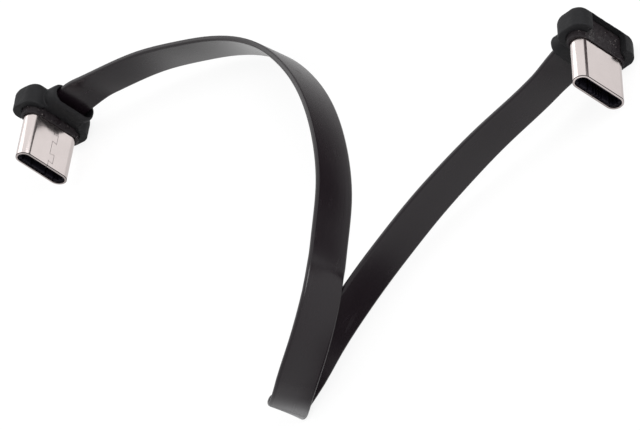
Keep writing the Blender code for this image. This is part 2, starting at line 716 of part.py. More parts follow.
def ribbon_ends():
    """The places at each plug where the ribbon ends, where its slot lets it go and where it leaves the
    collar."""
    ends = []
    for mouth, turn, shift in (
        (PLUG_A_MOUTH, PLUG_A_TURN, PLUG_A_EXIT_SHIFT),
        (PLUG_B_MOUTH, PLUG_B_TURN, PLUG_B_EXIT_SHIFT),
    ):
        frame = plug_matrix(mouth, turn)
        local = (
            (RIBBON_END, SLOT_Y),
            (COLLAR_FLOOR + FIT, SLOT_Y),
            (COLLAR_TOP, SLOT_Y + shift),
        )
        ends.append([frame @ Vector((x, y, 0.0)) for x, y in local])
    return ends


def ribbon_route(ends):
    """The ribbon's centreline on the floor plan, and the place of the fold in it."""
    fold_middle = on_plan(FOLD_CENTRE)
    fold = []
    for i in range(FOLD_STEPS + 1):
        heading = math.radians(FOLD_IN_HEADING + FOLD_TURN * i / FOLD_STEPS)
        fold.append((
            fold_middle[0] + FOLD_RADIUS * math.sin(heading),
            fold_middle[1] - FOLD_RADIUS * math.cos(heading),
        ))
    first = [tuple(point.xy) for point in ends[0]]
    last = [tuple(point.xy) for point in reversed(ends[1])]
    out = [on_plan(point) for point in ROUTE_TO_FOLD]
    back = [on_plan(point) for point in ROUTE_FROM_FOLD]
    return first + out + fold + back + last, len(first) + len(out)


def ribbon_centreline():
    """Places and leans along the ribbon: even steps, and shorter ones at the plugs and round the fold."""
    ends = ribbon_ends()
    points, first_of_fold = ribbon_route(ends)
    at, knots = cubic_through(points)
    total = knots[-1]
    fold_start, fold_end = knots[first_of_fold], knots[first_of_fold + FOLD_STEPS]
    near = 2.0 * RIBBON_THICKNESS
    stops = [
        0.0, knots[1], knots[2], knots[2] + EXIT_RUN, fold_start - near, fold_start,
        fold_end, fold_end + near, knots[-3] - EXIT_RUN, knots[-3], knots[-2], total,
    ]
    fold_step = (fold_end - fold_start) / FOLD_STEPS
    steps = [
        total, EXIT_STEP, EXIT_STEP, RIBBON_STEP, near / 2, fold_step,
        near / 2, RIBBON_STEP, EXIT_STEP, EXIT_STEP, total,
    ]
    distances = []
    for low, high, step in zip(stops, stops[1:], steps):
        count = max(1, round((high - low) / step))
        distances += [low + (high - low) * i / count for i in range(count)]
    distances = np.array(distances + [total])
    plan = at(distances)

    run = DROOP_SHARE * total
    gone_a = ease((distances - knots[2]) / run)
    gone_b = ease((knots[-3] - distances) / run)
    climb = np.clip(distances / knots[1], 0.0, 1.0)
    start_height = ends[0][0].z + (ends[0][1].z - ends[0][0].z) * climb
    height = np.where(
        distances < total / 2,
        start_height + (FLOOR_HEIGHT - start_height) * gone_a,
        ends[1][0].z + (FLOOR_HEIGHT - ends[1][0].z) * gone_b,
    )
    fold_length = fold_end - fold_start
    climbed = np.maximum(distances - fold_start, 0.0)
    climbed = np.where(climbed < fold_length, climbed ** 2 / (2 * fold_length), climbed - fold_length / 2)
    left_to_climb = 1 - np.minimum(climbed / HUMP_RISE, 1.0)
    hump = HUMP_HEIGHT * (1 - left_to_climb ** HUMP_ROUNDING)
    height += hump * (1 - ease((climbed - HUMP_RISE - HUMP_TOP) / HUMP_FALL))

    in_slot = -PLUG_A_TURN[0]
    lean = LEAN + (LEAN_NEAR_PLUG_A - LEAN) * (1 - ease(distances / LEAN_FADE))
    lean = in_slot + (lean - in_slot) * ease((distances - knots[2]) / LEAN_START)
    lean *= ease((knots[-3] - distances) / LEAN_START)
    from_fold = np.maximum(fold_start - distances, distances - fold_end)
    lean = LEAN_AT_FOLD + (lean - LEAN_AT_FOLD) * ease(from_fold / FOLD_LEAN_RUN)
    fold_share = np.clip((distances - fold_start) / fold_length, 0.0, 1.0)
    lean -= FOLD_TIP * np.sin(math.pi * fold_share)
    return np.column_stack([plan, height]), lean


def make_ribbon():
    """The flat cable with rounded edges, standing on its edge and leaning a little."""
    places, leans = ribbon_centreline()
    curve = bpy.data.curves.new("flat_cable", "CURVE")
    curve.dimensions = "3D"
    curve.twist_mode = "Z_UP"
    curve.extrude = (RIBBON_WIDTH - RIBBON_THICKNESS) / 2
    curve.bevel_depth = RIBBON_THICKNESS / 2
    curve.bevel_resolution = 2
    curve.use_fill_caps = True
    spline = curve.splines.new("POLY")
    spline.points.add(len(places) - 1)
    for spot, place, lean in zip(spline.points, places, leans):
        spot.co = (*place, 1.0)
        spot.tilt = -math.radians(lean)
    spline.use_smooth = True
    return link_object("flat_cable", curve, None, "ribbon")


def main():
    clear_scene()
    make_plug("plug_a", PLUG_A_MOUTH, PLUG_A_TURN)
    make_plug("plug_b", PLUG_B_MOUTH, PLUG_B_TURN)
    make_ribbon()


main()
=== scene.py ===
"""Looks for a short USB-C to USB-C cable: a flat black ribbon that lies on its edge, folded once, with a
low-profile side-exit plug at each end.

Each plug is shaped in its own frame, in millimetres: the origin is the centre of its mouth, +Y points out of
the mouth, +X towards the side that the ribbon leaves from, and Z runs along the wide side of the shell.
"""

import math

import bmesh
import bpy
import numpy as np
from bpy.props import FloatProperty, FloatVectorProperty, IntProperty, PointerProperty
from mathutils import Euler, Matrix, Vector, noise


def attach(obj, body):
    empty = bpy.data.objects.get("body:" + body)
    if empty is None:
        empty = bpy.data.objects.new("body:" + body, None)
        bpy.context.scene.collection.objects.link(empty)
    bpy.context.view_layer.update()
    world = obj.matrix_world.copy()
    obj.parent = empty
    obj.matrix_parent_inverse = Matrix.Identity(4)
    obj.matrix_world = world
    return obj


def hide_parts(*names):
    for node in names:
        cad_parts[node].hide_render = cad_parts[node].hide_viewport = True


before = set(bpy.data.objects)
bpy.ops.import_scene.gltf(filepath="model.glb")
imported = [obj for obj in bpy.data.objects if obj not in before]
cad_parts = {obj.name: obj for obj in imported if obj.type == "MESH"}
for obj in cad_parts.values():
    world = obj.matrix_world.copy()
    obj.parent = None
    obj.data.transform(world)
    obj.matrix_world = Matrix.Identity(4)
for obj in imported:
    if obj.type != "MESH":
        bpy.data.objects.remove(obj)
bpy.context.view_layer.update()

bl_info = {
    "name": "Flat USB-C cable",
    "version": (1, 0, 0),
    "blender": (4, 5, 0),
    "location": "View3D > Sidebar > Flat cable",
    "description": "Dresses the solids of a flat ribbon cable with its mouldings, shells and finishes",
    "category": "Object",
}

MM = 0.001

# The mouth's centre of each plug in metres, and its turns about X, Y and Z in degrees
PLUGS = {
    "plug_a": ((0.048230, -0.041400, 0.004976), (-4.2, -2.7, 173.55)),
    "plug_b": ((-0.050920, 0.031070, 0.005500), (0.0, 180.0, 160.1)),
}

# The camera: where it is, the directions of its right, its top and its back, its shift, and the width of its
# sensor and the length of its lens in millimetres
CAMERA_PLACE = (0.91626, -1.52556, 0.98662)
CAMERA_RIGHT = (0.67506, -0.06795, -0.73463)
CAMERA_UP = (0.58040, 0.66361, 0.47196)
CAMERA_BACK = (0.45544, -0.74498, 0.48742)
CAMERA_SHIFT = (-0.01055, 0.02908)
CAMERA_SENSOR, CAMERA_LENS = 36.0, 880.9


def plug_frame(plug):
    """The matrix from a plug's own frame, in millimetres, to the world, in metres."""
    place, turn = PLUGS[plug]
    rotation = Euler([math.radians(angle) for angle in turn]).to_matrix().to_4x4()
    return Matrix.Translation(place) @ rotation @ Matrix.Scale(MM, 4)


# Settings that a user would change


class CableSizes(bpy.types.PropertyGroup):
    """Sizes of the pieces that are modelled here."""

    ribbon_width: FloatProperty(
        name="Ribbon width", description="Width of the flat cable", default=5.60 * MM,
        min=1 * MM, unit="LENGTH", precision=5,
    )
    ribbon_thickness: FloatProperty(
        name="Ribbon thickness", description="Thickness of the flat cable", default=0.78 * MM,
        min=0.2 * MM, unit="LENGTH", precision=5,
    )
    ribbon_step: FloatProperty(
        name="Ribbon step", description="Length between two cross-sections of the ribbon",
        default=1.6 * MM, min=0.5 * MM, unit="LENGTH", precision=5,
    )
    moulding_grain: FloatProperty(
        name="Moulding grain", description="Size of the cells that the soft mouldings are shaped in",
        default=0.08 * MM, min=0.03 * MM, unit="LENGTH", precision=5,
    )
    moulding_waves: FloatProperty(
        name="Moulding waves", description="How far the moulded surfaces wander from true",
        default=0.030 * MM, min=0.0, unit="LENGTH", precision=5,
    )
    potting_lumps: FloatProperty(
        name="Potting lumps", description="Height of the lumps on the potted core behind the shell",
        default=0.06 * MM, min=0.0, unit="LENGTH", precision=5,
    )
    softening: IntProperty(
        name="Softening", description="Smoothing passes that round the edges of the mouldings",
        default=5, min=0, max=30,
    )
    shell_wall: FloatProperty(
        name="Shell wall", description="Thickness of the rolled steel sheet", default=0.15 * MM,
        min=0.05 * MM, unit="LENGTH", precision=5,
    )
    seam_gap: FloatProperty(
        name="Seam gap", description="Width of the interlocked seam in the shell", default=0.085 * MM,
        min=0.01 * MM, unit="LENGTH", precision=5,
    )


class CableFinishes(bpy.types.PropertyGroup):
    """Colours and gloss of the pieces."""

    ribbon_colour: FloatVectorProperty(
        name="Ribbon colour", description="Colour of the ribbon's jacket", subtype="COLOR",
        default=(0.0073, 0.0045, 0.0065), min=0.0, max=1.0,
    )
    ribbon_roughness: FloatProperty(
        name="Ribbon roughness", description="Roughness of the ribbon's jacket", default=0.25,
        min=0.0, max=1.0, subtype="FACTOR",
    )
    moulding_colour: FloatVectorProperty(
        name="Moulding colour", description="Colour of the soft mouldings", subtype="COLOR",
        default=(0.010, 0.010, 0.011), min=0.0, max=1.0,
    )
    moulding_roughness: FloatProperty(
        name="Moulding roughness", description="Roughness of the soft mouldings", default=0.58,
        min=0.0, max=1.0, subtype="FACTOR",
    )
    potting_colour: FloatVectorProperty(
        name="Potting colour", description="Colour of the potted core behind the shell", subtype="COLOR",
        default=(0.0075, 0.0070, 0.0078), min=0.0, max=1.0,
    )
    nickel_colour: FloatVectorProperty(
        name="Nickel colour", description="Colour of the plated shells", subtype="COLOR",
        default=(0.785, 0.708, 0.692), min=0.0, max=1.0,
    )
    nickel_roughness: FloatProperty(
        name="Nickel roughness", description="Roughness of the plated shells", default=0.16,
        min=0.0, max=1.0, subtype="FACTOR",
    )


class StageSettings(bpy.types.PropertyGroup):
    """The floor and the light."""

    floor_colour: FloatVectorProperty(
        name="Floor colour", description="Colour of the paper that the cable lies on", subtype="COLOR",
        default=(0.93, 0.93, 0.93), min=0.0, max=1.0,
    )
    floor_size: FloatProperty(
        name="Floor size", description="Length of a side of the floor", default=1.6, min=0.3, unit="LENGTH",
    )
    key_power: FloatProperty(
        name="Key light", description="Power of the large soft light", default=2.4, min=0.0, unit="POWER",
    )
    fill_power: FloatProperty(
        name="Fill light", description="Power of the soft light on the other side", default=6.0, min=0.0,
        unit="POWER",
    )


# Shader building


class Wire:
    """The value at a node's output. Python's operators on it add Math nodes."""

    def __init__(self, finish, socket):
        self.finish = finish
        self.socket = socket

    def math(self, operation, first, second):
        return self.finish.add("ShaderNodeMath", {"operation": operation}, {0: first, 1: second})

    def __add__(self, other):
        return self.math("ADD", self, other)

    __radd__ = __add__

    def __sub__(self, other):
        return self.math("SUBTRACT", self, other)

    def __rsub__(self, other):
        return self.math("SUBTRACT", other, self)

    def __mul__(self, other):
        return self.math("MULTIPLY", self, other)


class Finish:
    """A node tree that is built one node at a time."""

    def __init__(self, tree):
        self.tree = tree
        tree.nodes.clear()

    def add(self, kind, settings=None, inputs=None, output=0):
        """Adds a node. The settings come first, then the numbers, colours or wires of its inputs."""
        node = self.tree.nodes.new(kind)
        for name, value in (settings or {}).items():
            setattr(node, name, value)
        for name, value in (inputs or {}).items():
            if isinstance(value, Wire):
                self.tree.links.new(value.socket, node.inputs[name])
            else:
                node.inputs[name].default_value = value
        return Wire(self, node.outputs[output]) if len(node.outputs) else None

    def remap(self, value, low, high, to_low=0.0, to_high=1.0):
        """A smooth step from to_low, where the value is low, to to_high, where it is high."""
        return self.add(
            "ShaderNodeMapRange", {"interpolation_type": "SMOOTHSTEP"},
            {"Value": value, "From Min": low, "From Max": high, "To Min": to_low, "To Max": to_high},
        )

    def blend(self, factor, first, second):
        """Mixes two colours, which may be wires or plain colours."""
        def with_alpha(colour):
            return colour if isinstance(colour, Wire) else (*colour, 1.0)
        return self.add(
            "ShaderNodeMix", {"data_type": "RGBA"},
            {0: factor, 6: with_alpha(first), 7: with_alpha(second)}, output=2,
        )

    def place(self):
        return self.add("ShaderNodeTexCoord", output="Object")

    def noise(self, vector, size, detail=3.0, roughness=0.5, distortion=0.0):
        """Cloudy noise whose largest features are about size metres across."""
        return self.add(
            "ShaderNodeTexNoise", None,
            {"Vector": vector, "Scale": 1.0 / size, "Detail": detail, "Roughness": roughness,
             "Distortion": distortion},
        )

    def attribute(self, name):
        return self.add("ShaderNodeAttribute", {"attribute_name": name}, output="Fac")

    def vector(self, x, y, z):
        return self.add("ShaderNodeCombineXYZ", None, {"X": x, "Y": y, "Z": z})

    def bump(self, height, distance, strength=1.0):
        return self.add(
            "ShaderNodeBump", None, {"Height": height, "Distance": distance, "Strength": strength},
        )

    def surface(self, shader):
        self.add("ShaderNodeOutputMaterial", None, {"Surface": shader})


def new_finish(name):
    material = bpy.data.materials.new(name)
    material.use_nodes = True
    return material, Finish(material.node_tree)


def jacket_material(finishes):
    """The ribbon's jacket: satin black plastic, drawn lengthwise, with faint scuffs and a painted highlight
    at the fold.
    """
    material, finish = new_finish("ribbon_jacket")
    along = finish.attribute("along")
    across = finish.attribute("across")
    place = finish.place()
    drawn = finish.noise(finish.vector(along * 0.02, across, 0.0), 0.25 * MM, 2.0)
    grain = finish.noise(place, 0.10 * MM, 2.0, 0.6)
    clouds = finish.noise(finish.vector(along, across * 2.0, 0.0), 9 * MM, 3.0)
    scuffs = finish.remap(
        finish.noise(finish.vector(along * 0.25, across, 0.3), 1.1 * MM, 4.0, 0.65), 0.60, 0.78,
    )
    colour = tuple(finishes.ribbon_colour)
    paler = tuple(value * 1.7 for value in colour)
    base = finish.blend(clouds * 0.5 + scuffs * 0.3, colour, paler)
    # A painted highlight: the colour turns pale grey on the outside of the fold, for the sheen where it
    # bends
    fold_highlight = finish.attribute("fold_highlight")
    base = finish.blend(fold_highlight + (clouds - 0.5) * 0.25 * fold_highlight, base, (0.36, 0.36, 0.365))
    height = grain * 0.45 + drawn * 0.55
    shader = finish.add("ShaderNodeBsdfPrincipled", None, {
        "Base Color": base,
        "Roughness": (
            finishes.ribbon_roughness + (clouds - 0.5) * 0.10 + scuffs * 0.10 + (grain - 0.5) * 0.06
        ),
        "IOR": 1.46,
        "Normal": finish.bump(height, 0.006 * MM),
    })
    finish.surface(shader)
    return material


def moulding_material(finishes):
    """The soft black moulding: a fine matt skin with a few shinier rubbed places."""
    material, finish = new_finish("soft_moulding")
    place = finish.place()
    spark = finish.noise(place, 0.16 * MM, 3.0, 0.6)
    fine = finish.noise(place, 0.05 * MM, 2.0, 0.6)
    clouds = finish.noise(place, 2.2 * MM, 4.0, 0.6)
    rubbed = finish.remap(finish.noise(place, 0.8 * MM, 4.0, 0.65, 0.4), 0.60, 0.72)
    colour = tuple(finishes.moulding_colour)
    paler = tuple(value * 2.0 for value in colour)
    base = finish.blend(clouds * 0.6 + rubbed * 0.2, colour, paler)
    height = spark * 0.7 + fine * 0.3
    shader = finish.add("ShaderNodeBsdfPrincipled", None, {
        "Base Color": base,
        "Roughness": finishes.moulding_roughness + (clouds - 0.5) * 0.2 - rubbed * 0.24,
        "IOR": 1.29,
        "Normal": finish.bump(height, 0.020 * MM),
    })
    finish.surface(shader)
    return material


def potting_material(finishes):
    """The potted core behind the shell: uneven, with wet-looking spots and a few painted pale glints."""
    material, finish = new_finish("potted_core")
    place = finish.place()
    lumps = finish.noise(place, 0.45 * MM, 4.0, 0.65, 0.5)
    fine = finish.noise(place, 0.08 * MM, 3.0, 0.6)
    wet = finish.remap(finish.noise(place, 0.9 * MM, 3.0, 0.6, 0.6), 0.52, 0.62)
    colour = tuple(finishes.potting_colour)
    warmer = (colour[0] * 2.6, colour[1] * 1.9, colour[2] * 2.1)
    # Painted glints: small pale specks of colour scattered over the core, for the tiny highlights on it
    painted_glints = finish.remap(finish.noise(place, 0.26 * MM, 2.0), 0.69, 0.73)
    base = finish.blend(painted_glints, finish.blend(lumps, colour, warmer), (0.30, 0.27, 0.26))
    shader = finish.add("ShaderNodeBsdfPrincipled", None, {
        "Base Color": base,
        "Roughness": 0.60 - wet * 0.38,
        "IOR": 1.36,
        "Normal": finish.bump(lumps * 0.7 + fine * 0.3, 0.050 * MM),
    })
    finish.surface(shader)
    return material


def nickel_material(finishes):
    """Bright nickel on rolled steel: rolling lines, scratches, smudges, and painted shade on the mouth's
    lip.
    """
    material, finish = new_finish("plated_nickel")
    across = finish.attribute("across")
    depth = finish.attribute("depth")
    place = finish.place()
    lines = finish.noise(finish.vector(across, depth * 0.03, 0.0), 0.06 * MM, 3.0, 0.6)
    smudges = finish.noise(place, 1.6 * MM, 4.0, 0.6, 0.3)
    hairs = finish.noise(finish.vector(across * 0.35 + depth * 0.1, depth, 0.7), 0.09 * MM, 2.0)
    scratches = finish.remap(hairs, 0.68, 0.76)
    colour = tuple(finishes.nickel_colour)
    duller = tuple(value * 0.90 for value in colour)
    # Painted shade: a dark band round the rounded lip at the mouth, for the shade on its rolled edge
    painted_mouth_shade = finish.remap(depth, -0.16 * MM, -0.12 * MM) * finish.remap(depth, -0.002 * MM, -0.010 * MM)
    base = finish.blend(smudges * 0.6 + scratches * 0.25, colour, duller)
    shader = finish.add("ShaderNodeBsdfPrincipled", None, {
        "Base Color": finish.blend(painted_mouth_shade, base, (0.045, 0.042, 0.043)),
        "Metallic": 1.0,
        "Roughness": finishes.nickel_roughness + (smudges - 0.5) * 0.10 + scratches * 0.10,
        "Normal": finish.bump(lines * 0.6 + scratches * 0.4, 0.0015 * MM),
    })
    finish.surface(shader)
    return material


def plain_material(
    name, colour, roughness, metallic=0.0, grain=0.12 * MM, depth=0.004 * MM, change=0.25, index=1.5,
):
    """A small part's finish: even, with a fine grain and a slight change of colour and gloss over it."""
    material, finish = new_finish(name)
    place = finish.place()
    fine = finish.noise(place, grain, 3.0, 0.6)
    clouds = finish.noise(place, grain * 8, 3.0, 0.6)
    darker = tuple(value * (1.0 - change) for value in colour)
    shader = finish.add("ShaderNodeBsdfPrincipled", None, {
        "Base Color": finish.blend(clouds, colour, darker),
        "Metallic": metallic,
        "IOR": index,
        "Roughness": roughness + (clouds - 0.5) * 0.15,
        "Normal": finish.bump(fine, depth),
    })
    finish.surface(shader)
    return material


# Shaping with bmesh operators, in a plug's own frame and in millimetres


def block(low, high):
    """A box between two corners."""
    low, high = Vector(low), Vector(high)
    bm = bmesh.new()
    place = Matrix.Translation((low + high) / 2) @ Matrix.Diagonal((*(high - low), 1.0))
    bmesh.ops.create_cube(bm, size=1.0, matrix=place)
    return bm


def round_off(bm, chosen, radius, segments):
    """Rounds the edges that chosen(start, end) picks."""
    edges = [edge for edge in bm.edges if chosen(edge.verts[0].co, edge.verts[1].co)]
    bmesh.ops.bevel(
        bm, geom=edges, offset=radius, segments=segments, profile=0.5, affect="EDGES",
        clamp_overlap=True, material=-1,
    )
    bmesh.ops.remove_doubles(bm, verts=bm.verts, dist=1e-5)


def along(axis):
    """Picks the edges that run along an axis."""
    others = [i for i in range(3) if i != axis]
    return lambda start, end: all(abs(start[i] - end[i]) < 1e-4 for i in others)


def at(axis, value):
    """Picks the edges that lie in the plane where the axis has that value."""
    return lambda start, end: abs(start[axis] - value) < 1e-4 and abs(end[axis] - value) < 1e-4


def working_object(name, bm):
    """A helper object in millimetres, for the modifiers."""
    bmesh.ops.recalc_face_normals(bm, faces=bm.faces)
    mesh = bpy.data.meshes.new(name)
    bm.to_mesh(mesh)
    bm.free()
    obj = bpy.data.objects.new(name, mesh)
    bpy.context.scene.collection.objects.link(obj)
    return obj


def combine(obj, bm, operation):
    """Adds or removes a shape by an exact Boolean, and returns the helper that it needs until then."""
    other = working_object(obj.name + "_tool", bm)
    modifier = obj.modifiers.new(operation.title(), "BOOLEAN")
    modifier.operation = operation
    modifier.solver = "EXACT"
    modifier.object = other
    return other


def settle(obj):
    """Applies the modifiers of a helper object and returns its mesh."""
    bpy.context.view_layer.update()
    graph = bpy.context.evaluated_depsgraph_get()
    return bpy.data.meshes.new_from_object(obj.evaluated_get(graph))


def discard(*objects):
    for obj in objects:
        mesh = obj.data
        bpy.data.objects.remove(obj, do_unlink=True)
        if mesh is not None and mesh.users == 0:
            bpy.data.meshes.remove(mesh)


def soften(work, tools, grain, passes):
    """The mesh of a helper object once its tools have cut it, built from small cells with softened edges."""
    remesh = work.modifiers.new("Remesh", "REMESH")
    remesh.mode = "VOXEL"
    remesh.voxel_size = grain
    smooth = work.modifiers.new("Smooth", "SMOOTH")
    smooth.factor = 0.5
    smooth.iterations = passes
    mesh = settle(work)
    discard(work, *tools)
    return mesh


def mark(mesh, name, values):
    """Stores a value for each vertex, which a material reads."""
    attribute = mesh.attributes.new(name, "FLOAT", "POINT")
    attribute.data.foreach_set("value", values.astype(np.float32))


def wander(mesh, size, height, seed, only=None):
    """Moves the vertices by smooth noise along their normals. only(point) weighs the move."""
    normals = [vertex.normal.copy() for vertex in mesh.vertices]
    offset = Vector((17.3, 5.1, 9.7)) * seed
    for vertex, normal in zip(mesh.vertices, normals):
        amount = height * noise.fractal(vertex.co / size + offset, 0.8, 2.0, 3)
        if only is not None:
            amount *= only(vertex.co)
        vertex.co += normal * amount


def add_piece(name, mesh, matrix, material, replaced):
    """Puts a finished mesh in its place in the world, and ties it to the frame."""
    mesh.name = name
    mesh.transform(matrix)
    mesh.materials.clear()
    mesh.materials.append(material)
    obj = bpy.data.objects.new(name, mesh)
    bpy.context.scene.collection.objects.link(obj)
    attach(obj, "root")
    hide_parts(replaced)
    return obj


# The ribbon


# The fold, in millimetres and degrees: the way that the ribbon comes in, how far it turns, how far its top
# tips over halfway round, and the number of steps round it
FOLD = {"centre": (-12.49, -46.95), "radius": 0.50, "heading": 206.0, "turn": 176.0, "tip": 11.0, "steps": 8}

# How the returning strand climbs over the first one, in millimetres: how high, and along how much of its
# length it rises, stays up and falls again. The rounding is the power that flattens the rise towards its top
HUMP = {"height": 5.80, "rise": 18.0, "rounding": 1.3, "top": 5.0, "fall": 70.0}

# How far the ribbon leans from upright, in degrees, and how far along it the lean near plug A and at the
# fold reaches, in millimetres
LEANS = {"at_plug_a": 4.2, "near_plug_a": 12.4, "free": 7.0, "at_fold": 1.2}
PLUG_LEAN_REACH, FOLD_LEAN_REACH = 45.0, 4.5

# The height of the ribbon's middle where it lies on the floor, and the share of its length along which it
# comes down to that from a plug
RIBBON_HEIGHT = 2.87
DROOP_SHARE = 0.26

# Lengths in millimetres between two cross-sections in a plug, beside a collar and round the fold, and how
# far the stretch beside a collar reaches, along which the lean changes too
PLUG_STEP, COLLAR_STEP, FOLD_STEP = 0.5, 0.7, 0.12
COLLAR_STRETCH = 5.0

# How far from the fold's middle the painted highlight has faded to about a third, in millimetres
FOLD_HIGHLIGHT_REACH = 0.8

# How fast the ribbon's texture goes on where its surface turns round an edge
TEXTURE_ROUND_EDGE = 0.6

# How far behind the mouth the middle of the ribbon's slot lies
SLOT_DEPTH = 9.075

# Where the ribbon ends in each plug, where its slot lets it go and where it leaves the collar: x, y in the
# plug's own frame
RIBBON_IN_PLUG = {
    "plug_a": ((1.62, -SLOT_DEPTH), (2.63, -SLOT_DEPTH), (4.60, -SLOT_DEPTH + 0.60)),
    "plug_b": ((1.62, -SLOT_DEPTH), (2.63, -SLOT_DEPTH), (4.60, -SLOT_DEPTH - 0.55)),
}

# The ribbon's way over the floor in millimetres: from plug A to the fold, and from the fold to plug B
ROUTE_TO_FOLD = (
    (38.11, -33.65), (30.31, -33.50), (21.31, -33.40), (15.36, -33.75), (10.01, -34.75), (4.76, -36.35),
    (-0.62, -38.85), (-5.20, -41.74), (-9.47, -44.94),
)
ROUTE_FROM_FOLD = (
    (-9.08, -46.10), (-5.39, -44.40), (-1.89, -41.95), (0.96, -38.60), (2.56, -33.50), (3.71, -28.50),
    (4.29, -25.10), (4.40, -18.76), (3.41, -11.41), (1.37, -3.48), (-1.62, 4.63), (-5.18, 12.20),
    (-9.04, 18.77), (-13.46, 24.04), (-18.54, 28.05), (-22.94, 30.65), (-29.49, 34.05), (-37.29, 36.95),
)


def smooth_line(points):
    """A natural cubic spline through the points, as a function of the distance along their chords."""
    points = np.array(points, float)
    chords = np.linalg.norm(np.diff(points, axis=0), axis=1)
    knots = np.concatenate([[0.0], np.cumsum(chords)])
    count = len(points)
    system = np.eye(count)
    right = np.zeros_like(points)
    for i in range(1, count - 1):
        system[i, i - 1] = chords[i - 1]
        system[i, i] = 2 * (chords[i - 1] + chords[i])
        system[i, i + 1] = chords[i]
        ahead, behind = points[i + 1] - points[i], points[i] - points[i - 1]
        right[i] = 6 * (ahead / chords[i] - behind / chords[i - 1])
    bends = np.linalg.solve(system, right)

    def read(distances):
        i = np.clip(np.searchsorted(knots, distances, side="right") - 1, 0, count - 2)
        step = chords[i][:, None]
        gone = (distances - knots[i])[:, None]
        left = step - gone
        return (
            (bends[i] * left**3 + bends[i + 1] * gone**3) / (6 * step)
            + (points[i] / step - bends[i] * step / 6) * left
            + (points[i + 1] / step - bends[i + 1] * step / 6) * gone
        )

    return read, knots


def ease(share):
    """A smooth rise from zero at 0 to one at 1."""
    share = np.clip(share, 0.0, 1.0)
    return share**3 * (share * (6 * share - 15) + 10)


def ribbon_line(sizes):
    """Places in metres and leans in degrees along the middle of the ribbon, from plug A to plug B, with
    their distances along it and that of the fold."""
    ends = [
        [plug_frame(plug) @ Vector((x, y, 0.0)) / MM for x, y in RIBBON_IN_PLUG[plug]]
        for plug in ("plug_a", "plug_b")
    ]
    fold = []
    for i in range(FOLD["steps"] + 1):
        heading = math.radians(FOLD["heading"] + FOLD["turn"] * i / FOLD["steps"])
        fold.append((
            FOLD["centre"][0] + FOLD["radius"] * math.sin(heading),
            FOLD["centre"][1] - FOLD["radius"] * math.cos(heading),
        ))
    first = [tuple(point.xy) for point in ends[0]]
    last = [tuple(point.xy) for point in reversed(ends[1])]
    read, knots = smooth_line(first + list(ROUTE_TO_FOLD) + fold + list(ROUTE_FROM_FOLD) + last)
    total = knots[-1]
    start = len(first) + len(ROUTE_TO_FOLD)
    fold_start, fold_end = knots[start], knots[start + FOLD["steps"]]

    coarse = sizes.ribbon_step / MM
    near = 2.0 * sizes.ribbon_thickness / MM
    stops = (
        0.0, knots[2], knots[2] + COLLAR_STRETCH, fold_start - near,
        fold_end + near, knots[-3] - COLLAR_STRETCH, knots[-3], total,
    )
    steps = (PLUG_STEP, COLLAR_STEP, coarse, FOLD_STEP, coarse, COLLAR_STEP, PLUG_STEP)
    distances = []
    for low, high, step in zip(stops, stops[1:], steps):
        count = max(1, round((high - low) / step))
        distances += [low + (high - low) * i / count for i in range(count)]
    distances = np.array(distances + [total])

    run = DROOP_SHARE * total
    climb = np.clip(distances / knots[1], 0.0, 1.0)
    start_height = ends[0][0].z + (ends[0][1].z - ends[0][0].z) * climb
    height = np.where(
        distances < total / 2,
        start_height + (RIBBON_HEIGHT - start_height) * ease((distances - knots[2]) / run),
        ends[1][0].z + (RIBBON_HEIGHT - ends[1][0].z) * ease((knots[-3] - distances) / run),
    )
    fold_length = fold_end - fold_start
    gone = np.maximum(distances - fold_start, 0.0)
    gone = np.where(gone < fold_length, gone**2 / (2 * fold_length), gone - fold_length / 2)
    left_to_climb = 1 - np.minimum(gone / HUMP["rise"], 1.0)
    hump = HUMP["height"] * (1 - left_to_climb ** HUMP["rounding"])
    height += hump * (1 - ease((gone - HUMP["rise"] - HUMP["top"]) / HUMP["fall"]))

    lean = LEANS["free"] + (LEANS["near_plug_a"] - LEANS["free"]) * (1 - ease(distances / PLUG_LEAN_REACH))
    lean = LEANS["at_plug_a"] + (lean - LEANS["at_plug_a"]) * ease((distances - knots[2]) / COLLAR_STRETCH)
    lean *= ease((knots[-3] - distances) / COLLAR_STRETCH)
    from_fold = np.maximum(fold_start - distances, distances - fold_end)
    lean = LEANS["at_fold"] + (lean - LEANS["at_fold"]) * ease(from_fold / FOLD_LEAN_REACH)
    lean -= FOLD["tip"] * np.sin(math.pi * np.clip((distances - fold_start) / fold_length, 0.0, 1.0))
    places = np.column_stack([read(distances), height]) * MM
    return places, lean, distances * MM, (fold_start + fold_end) / 2 * MM


def ribbon_mesh(sizes, places, leans):
    """A flat tube with rounded edges and closed ends, which follows the middle line and its lean."""
    curve = bpy.data.curves.new("ribbon_guide", "CURVE")
    curve.dimensions = "3D"
    curve.twist_mode = "Z_UP"
    curve.extrude = (sizes.ribbon_width - sizes.ribbon_thickness) / 2
    curve.bevel_depth = sizes.ribbon_thickness / 2
    curve.bevel_resolution = 4
    curve.use_fill_caps = True
    spline = curve.splines.new("POLY")
    spline.points.add(len(places) - 1)
    for spot, place, lean in zip(spline.points, places, leans):
        spot.co = (*place, 1.0)
        spot.tilt = -math.radians(lean)
    spline.use_smooth = True
    guide = bpy.data.objects.new("ribbon_guide", curve)
    bpy.context.scene.collection.objects.link(guide)
    mesh = settle(guide)
    bpy.data.objects.remove(guide, do_unlink=True)
    return mesh


